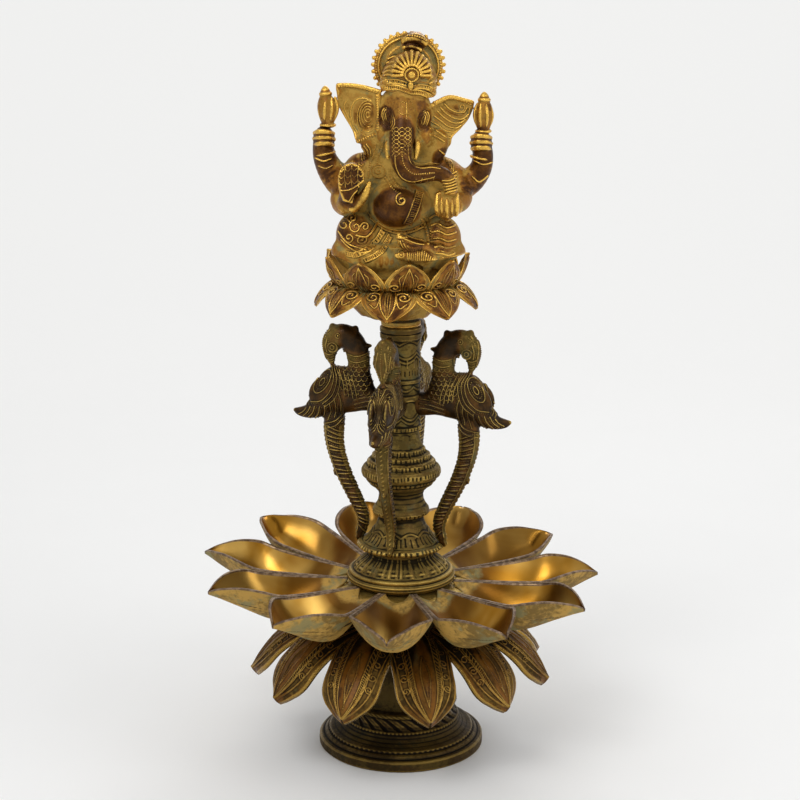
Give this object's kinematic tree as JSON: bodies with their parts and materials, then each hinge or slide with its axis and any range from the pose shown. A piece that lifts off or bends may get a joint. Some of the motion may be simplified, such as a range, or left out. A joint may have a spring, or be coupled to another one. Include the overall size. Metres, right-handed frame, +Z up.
{
  "type": "ganesha oil lamp",
  "caption": "Cast brass pedestal oil lamp: petal-shaped oil troughs in a ring over drooping leaves, a turned column with peacocks and a seated elephant-headed figure on a lotus.",
  "frame": {"origin": "centre of the lamp's footprint, on the surface that it stands on", "axes": "+Z is up along the column, -Y is the side that the figure faces, and +X is to the viewer's right"},
  "size_m": [0.2567, 0.253, 0.4568],
  "materials": {
    "olive_patina": "olive and yellow-green dusty patina with gold-rubbed ridges",
    "dark_bronze": "dark brown-olive patina with brassy worn edges",
    "satin_gold": "satin gold-bronze polished troughs with grey-pink rims",
    "gold_patina": "yellow-green patina with rubbed gold and dark brown polished areas",
    "plain_brass": "plain machined brass, not seen in use"
  },
  "bodies": {
    "lamp": {"bell": "olive_patina", "column": "olive_patina", "dish_hub": "olive_patina", "foot": "dark_bronze", "leaf_01": "olive_patina", "leaf_02": "olive_patina", "leaf_03": "olive_patina", "leaf_04": "olive_patina", "leaf_05": "olive_patina", "leaf_06": "olive_patina", "leaf_07": "olive_patina", "leaf_08": "olive_patina", "leaf_09": "olive_patina", "leaf_10": "olive_patina", "leaf_11": "olive_patina", "leaf_ring": "dark_bronze", "peacock_back": "olive_patina", "peacock_front": "olive_patina", "peacock_left": "olive_patina", "peacock_right": "olive_patina", "petal_01": "satin_gold", "petal_02": "satin_gold", "petal_03": "satin_gold", "petal_04": "satin_gold", "petal_05": "satin_gold", "petal_06": "satin_gold", "petal_07": "satin_gold", "petal_08": "satin_gold", "petal_09": "satin_gold", "petal_10": "satin_gold", "petal_11": "satin_gold", "tie_nut": "plain_brass", "tie_rod": "plain_brass", "tie_washer": "plain_brass"},
    "stud": {"top_stud": "plain_brass"},
    "top": {"ganesha_figure": "gold_patina", "lotus_seat": "gold_patina", "seat_nut": "plain_brass"}
  },
  "joints": [
    {"name": "stud_rise", "type": "slide", "parent": "lamp", "child": "stud", "axis": [0, 0, 1], "range_m": [0, 0.0101]},
    {"name": "top_unscrew", "type": "hinge", "parent": "stud", "child": "top", "pos_m": [0, 0, 0.28], "axis": [0, 0, 1], "range_deg": [0, 2880]}
  ],
  "couplings": [
    {"joint": "stud_rise", "follows": "top_unscrew", "m_per_rad": 0.00019894}
  ]
}
